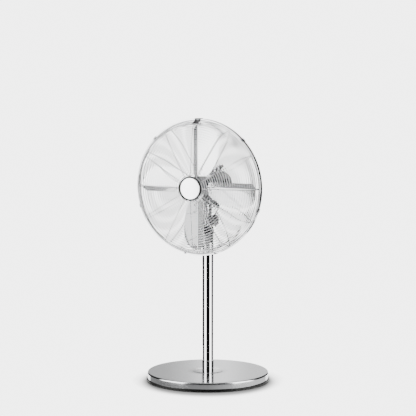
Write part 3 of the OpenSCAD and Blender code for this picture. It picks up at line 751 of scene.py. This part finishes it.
# Its route in mm, from the motor's gland to the neck's, measured from the tilt axis
ROUTE = [(8, 60, 41.9), (8, 60, 36), (8, 57, 29), (7, 51, 23), (6, 44, 18), (4, 37, 13), (3, 31, 8),
         (1.5, 26, 2.5), (0.5, 22, -2.5), (0, 19.5, -5), (0, 17.5, -6), (0, 15, -6), (0, 12.8, -6)]


def smooth_path(pts, per=6):
    """A smooth curve through the points, with per steps between each two."""
    pts = [Vector(p) for p in pts]
    pts = [2 * pts[0] - pts[1]] + pts + [2 * pts[-1] - pts[-2]]
    out = []
    for i in range(1, len(pts) - 2):
        p0, p1, p2, p3 = pts[i - 1:i + 3]
        for s in range(per):
            t = s / per
            out.append(0.5 * (2 * p1 + (p2 - p0) * t + (2 * p0 - 5 * p1 + 4 * p2 - p3) * t * t
                              + (3 * p1 - p0 - 3 * p2 + p3) * t ** 3))
    out.append(pts[-2])
    return out


lead_path = [v * MM + Vector((0, 0, TILT_Z)) for v in smooth_path(ROUTE)]
lead = mesh_object("motor_lead_look", *tube_along(lead_path, LEAD_R, 14))
lead.data.materials.append(MAT["black_rubber"])
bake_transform(lead)
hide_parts("motor_lead")

# ------------------------------------------------------------------ materials on the CAD pieces that stay
for name, obj in frame["nodes"].items():
    if obj.hide_render:
        continue
    obj.data.materials.clear()
    obj.data.materials.append(MAT[SLOT[name]])

# ------------------------------------------------------------------ stage, light and camera
BACKDROP = 4.8          # radiance of the seamless white sweep behind the fan
SHADOW_DEPTH = 2.6      # how strongly the painted shadow darkens the floor's glow near the base
SHADOW_SHIFT = 0.048    # how far the painted soft shadow of the base lies towards the camera
VIEW_AZ = math.radians(25.75)
TOWARDS = Vector((math.sin(VIEW_AZ), -math.cos(VIEW_AZ), 0))


def glowing(name, build):
    """An emission material whose strength comes from build(tree)."""
    m, t, em = shader_material(name, "ShaderNodeEmission")
    em.inputs["Color"].default_value = (1, 1, 1, 1)
    feed(t, em.inputs["Strength"], build(t))
    return m


def sheet(name, verts, faces, build):
    """A glowing surface of the stage."""
    me = bpy.data.meshes.new(name)
    me.from_pydata(verts, [], faces)
    o = bpy.data.objects.new(name, me)
    bpy.context.scene.collection.objects.link(o)
    o.data.materials.append(glowing("mat_" + name, build))
    return o


def mirrored_only(o):
    """A studio card that only shows up as a reflection."""
    o.visible_camera = False
    o.visible_diffuse = False
    o.visible_shadow = False
    o.visible_transmission = False


def floor_piece(name, inner, outer, build):
    """A disc or ring of floor that the camera sees and nothing mirrors."""
    n = 96
    turns = [2 * math.pi * k / n for k in range(n)]
    verts = [(r * math.cos(a), r * math.sin(a), 0) for r in (inner, outer) if r for a in turns]
    if inner:
        faces = [[k, (k + 1) % n, n + (k + 1) % n, n + k] for k in range(n)]
    else:
        faces = [list(range(n))]
    o = sheet(name, verts, faces, build)
    o.visible_glossy = False
    o.visible_diffuse = False


def plain_floor(t):
    return BACKDROP


def painted_shadow_floor(t):
    """A painted shadow: the floor's glow darkens near the base where the base stands over it, and a little
    towards the camera.
    """
    near = t.nodes.new("ShaderNodeAmbientOcclusion")
    near.samples = 32
    near.inputs["Distance"].default_value = 0.055
    lit = math_node(t, "MULTIPLY", math_node(t, "POWER", near.outputs["AO"], SHADOW_DEPTH), BACKDROP)
    tc = t.nodes.new("ShaderNodeTexCoord")
    far = vector_math(t, "DISTANCE", tc.outputs["Object"], TOWARDS * SHADOW_SHIFT)
    fall = curve(t, far, [(0.18, 0.20), (0.190, 0.22), (0.205, 0.50), (0.220, 0.85), (0.235, 1.0)],
                 0.18, 0.235)
    return math_node(t, "MULTIPLY", lit, fall)


def azimuth_of(t, x, y):
    """Degrees round the pole from the camera's side, +90 to the camera's right, as a value node."""
    az = math_node(t, "ARCTAN2", x, math_node(t, "MULTIPLY", y, -1))
    return math_node(t, "MULTIPLY", az, 180 / math.pi)


def curve(t, value, pairs, lo, hi):
    """Piecewise-linear strength from (position, strength) pairs over lo..hi."""
    fac = t.nodes.new("ShaderNodeMapRange")
    fac.inputs["From Min"].default_value = lo
    fac.inputs["From Max"].default_value = hi
    t.links.new(value, fac.inputs["Value"])
    top = max(v for _, v in pairs)
    col = ramp(t, fac.outputs[0], [((p - lo) / (hi - lo), (v / top,) * 3) for p, v in pairs])
    return math_node(t, "MULTIPLY", col, top)


def round_the_pole(t, axes, pairs):
    """A strength that depends on the azimuth alone."""
    return curve(t, azimuth_of(t, axes["X"], axes["Y"]), pairs, -180, 180)


def blend_at(t, value, edge, width, below, above):
    """One strength below an edge and another above it, with a soft step of a given width."""
    fac = t.nodes.new("ShaderNodeMapRange")
    fac.interpolation_type = "SMOOTHSTEP"
    fac.inputs["From Min"].default_value = edge - width / 2
    fac.inputs["From Max"].default_value = edge + width / 2
    t.links.new(value, fac.inputs["Value"])
    mix = t.nodes.new("ShaderNodeMix")
    mix.data_type = "FLOAT"
    t.links.new(fac.outputs[0], mix.inputs["Factor"])
    t.links.new(below, mix.inputs["A"])
    t.links.new(above, mix.inputs["B"])
    return mix.outputs["Result"]


def wall(name, radius, z0, z1, az0, az1, build, steps=96):
    """A curved studio card round the pole, from azimuth az0 to az1 seen from the camera's side."""
    verts, faces = [], []
    for k in range(steps + 1):
        a = math.radians(az0 + (az1 - az0) * k / steps)
        x, y = radius * math.sin(a), -radius * math.cos(a)
        verts += [(x, y, z0), (x, y, z1)]
    for k in range(steps):
        faces.append([2 * k, 2 * k + 2, 2 * k + 3, 2 * k + 1])
    o = sheet(name, verts, faces, build)
    o.matrix_world = Matrix.Rotation(VIEW_AZ, 4, "Z")
    mirrored_only(o)


def local_axes(t):
    tc = t.nodes.new("ShaderNodeTexCoord")
    sep = t.nodes.new("ShaderNodeSeparateXYZ")
    t.links.new(tc.outputs["Object"], sep.inputs[0])
    return sep.outputs


# What the cards show: pairs of a place and its radiance. Places are degrees round the pole, or metres.
POLE_BANDS = [(-180, 5.0), (-150, 5.0), (-142, 0.15), (-122, 0.03), (-78, 0.02), (-70, 5.5), (-35, 5.5),
              (-31, 0.008), (33, 0.008), (38, 6.0), (66, 6.0), (74, 0.05), (118, 0.06), (128, 0.2),
              (134, 5.0), (180, 5.0)]
POLE_ZONE, DOWN_ZONE, UP_ZONE = -0.07, 0.30, 0.54       # heights where the far card's zones begin
FAR_BASE = [(-180, 0.5), (-90, 0.30), (-40, 0.36), (0, 0.40), (40, 0.75), (80, 1.3), (180, 1.0)]
FAR_DOWN = [(-180, 0.1), (-125, 0.1), (-116, 2.6), (-88, 2.5), (-76, 0.1), (-66, 0.1), (-60, 8.0),
            (-44, 8.0), (-36, 0.2), (-18, 0.45), (6, 0.4), (24, 0.12), (84, 0.12), (96, 0.005),
            (180, 0.005)]
FAR_UP = [(-180, 0.1), (-130, 0.1), (-120, 0.02), (-78, 0.01), (-66, 0.1), (-60, 8.0), (-44, 8.0),
          (-36, 0.2), (-22, 0.6), (-16, 8.0), (14, 8.0), (22, 0.12), (84, 0.12), (96, 0.005),
          (180, 0.005)]
BACK_GLOW = [(-0.5, 0.6), (-0.19, 0.75), (-0.09, 1.1), (0.0, 1.75), (0.08, 1.85), (0.19, 1.25), (0.5, 1.1)]
OVER_GLOW = [(-0.8, 0.4), (-0.68, 9.0), (-0.42, 9.0), (-0.38, 0.30), (-0.16, 0.25), (0.8, 0.3)]
UNDER_GLOW = [(-0.8, 0.25), (-0.42, 0.25), (-0.37, 7.0), (-0.10, 7.0), (0.0, 0.5), (0.8, 0.3)]


def near_card(t):
    """Close round the base, open behind: dark flags and white cards that the pole mirrors."""
    return round_the_pole(t, local_axes(t), POLE_BANDS)


def far_card(t):
    """A wide wall in four zones, for the base's side, the pole, and the head's lower and upper parts."""
    axes = local_axes(t)
    low = blend_at(t, axes["Z"], POLE_ZONE, 0.05, round_the_pole(t, axes, FAR_BASE),
                   round_the_pole(t, axes, POLE_BANDS))
    mid = blend_at(t, axes["Z"], DOWN_ZONE, 0.04, low, round_the_pole(t, axes, FAR_DOWN))
    return blend_at(t, axes["Z"], UP_ZONE, 0.04, mid, round_the_pole(t, axes, FAR_UP))


def low_ring(t):
    """Behind the fan and below the floor: grey, and white at its top edge."""
    axes = local_axes(t)
    low = curve(t, axes["X"], [(-1.0, 0.35), (1.0, 1.0)], -1.0, 1.0)
    white = curve(t, axes["X"], [(-1.0, 5.5), (1.0, 5.5)], -1.0, 1.0)
    return blend_at(t, axes["Z"], -0.17, 0.20, low, white)


def back_card(t):
    """What the top of the base mirrors."""
    return curve(t, local_axes(t)["X"], BACK_GLOW, -0.5, 0.5)


def flat_card(name, corners, build, turned=False):
    """A four-cornered card, in the fan's own axes or turned to face the camera."""
    o = sheet(name, corners, [[0, 1, 2, 3]], build)
    if turned:
        o.matrix_world = Matrix.Rotation(VIEW_AZ, 4, "Z")
    mirrored_only(o)


def over_card(t):
    """Above the front of the fan: what the blades' upward sides mirror."""
    return curve(t, local_axes(t)["X"], OVER_GLOW, -0.8, 0.8)


def under_card(t):
    """Below the front of the fan: what the blades' downward sides mirror."""
    return curve(t, local_axes(t)["X"], UNDER_GLOW, -0.8, 0.8)


def studio():
    """A seamless white room; what the plated parts mirror is set by the cards."""
    w = bpy.data.worlds.new("studio")
    bpy.context.scene.world = w
    w.use_nodes = True
    t = w.node_tree
    t.nodes.clear()
    out = t.nodes.new("ShaderNodeOutputWorld")
    seen = t.nodes.new("ShaderNodeBackground")
    seen.inputs["Color"].default_value = (1, 1, 1, 1)
    seen.inputs["Strength"].default_value = BACKDROP
    tc = t.nodes.new("ShaderNodeTexCoord")
    turn = t.nodes.new("ShaderNodeVectorRotate")
    turn.rotation_type = "Z_AXIS"
    turn.inputs["Angle"].default_value = -VIEW_AZ
    t.links.new(tc.outputs["Generated"], turn.inputs["Vector"])
    sep = t.nodes.new("ShaderNodeSeparateXYZ")
    t.links.new(turn.outputs[0], sep.inputs[0])
    behind = round_the_pole(t, sep.outputs, [
        (-180, 5.5), (-154, 5.5), (-146, 0.1), (126, 0.1), (134, 5.5), (180, 5.5)])
    room = curve(t, sep.outputs["Z"], [(-1, 0.2), (0.7, 0.2), (0.85, 0.8), (1, 0.8)], -1, 1)
    mirrored = t.nodes.new("ShaderNodeBackground")
    mirrored.inputs["Color"].default_value = (1, 1, 1, 1)
    t.links.new(blend_at(t, sep.outputs["Z"], 0.03, 0.06, behind, room), mirrored.inputs["Strength"])
    path = t.nodes.new("ShaderNodeLightPath")
    choose = t.nodes.new("ShaderNodeMixShader")
    t.links.new(path.outputs["Is Camera Ray"], choose.inputs["Fac"])
    t.links.new(mirrored.outputs[0], choose.inputs[1])
    t.links.new(seen.outputs[0], choose.inputs[2])
    t.links.new(choose.outputs[0], out.inputs[0])


FLOOR_R = 0.30          # the disc with the painted shadow; beyond it the floor is even
NEAR_R, NEAR_TOP, NEAR_END = 0.35, 0.415, 128
FAR_R, FAR_LOW, FAR_TOP, FAR_END = 1.00, -0.60, 1.05, 131
LOW_TOP = -0.07
BACK_Y, BACK_HALF = 2.0, 0.9
CARD_HALF, OVER_Z, UNDER_Z = 0.8, 1.23, 0.03

floor_piece("floor", 0.0, FLOOR_R, painted_shadow_floor)
floor_piece("sweep", FLOOR_R, 60.0, plain_floor)
studio()
wall("card_near", NEAR_R, 0.001, NEAR_TOP, -NEAR_END, NEAR_END, near_card)
wall("card_far", FAR_R, FAR_LOW, FAR_TOP, -FAR_END, FAR_END, far_card)
wall("card_low", FAR_R, FAR_LOW, LOW_TOP, FAR_END, 360 - FAR_END, low_ring)
flat_card("card_back", [(-BACK_HALF, BACK_Y, 0.10), (BACK_HALF, BACK_Y, 0.10), (BACK_HALF, BACK_Y, 0.85),
                        (-BACK_HALF, BACK_Y, 0.85)], back_card, turned=True)
flat_card("card_over", [(-CARD_HALF, -0.86, OVER_Z), (CARD_HALF, -0.86, OVER_Z), (CARD_HALF, -0.5, OVER_Z),
                        (-CARD_HALF, -0.5, OVER_Z)], over_card)
flat_card("card_under", [(-CARD_HALF, -0.75, UNDER_Z), (CARD_HALF, -0.75, UNDER_Z),
                         (CARD_HALF, -0.38, UNDER_Z), (-CARD_HALF, -0.38, UNDER_Z)], under_card)


CAMERA_DISTANCE, CAMERA_HEIGHT = 5.10, 1.063
AIM_HEIGHT = 0.567
CAMERA_ROLL = math.radians(0.03)


def camera():
    cam = bpy.data.cameras.new("camera")
    o = bpy.data.objects.new("camera", cam)
    bpy.context.scene.collection.objects.link(o)
    eye = TOWARDS * CAMERA_DISTANCE + Vector((0, 0, CAMERA_HEIGHT))
    aim = Vector((0, 0, AIM_HEIGHT))
    cam.sensor_width = 36.0
    cam.lens = 136.3
    cam.clip_end = 200
    look = (aim - eye).to_track_quat("-Z", "Y").to_matrix().to_4x4()
    o.matrix_world = Matrix.Translation(eye) @ look @ Matrix.Rotation(CAMERA_ROLL, 4, "Z")
    bpy.context.scene.camera = o


camera()
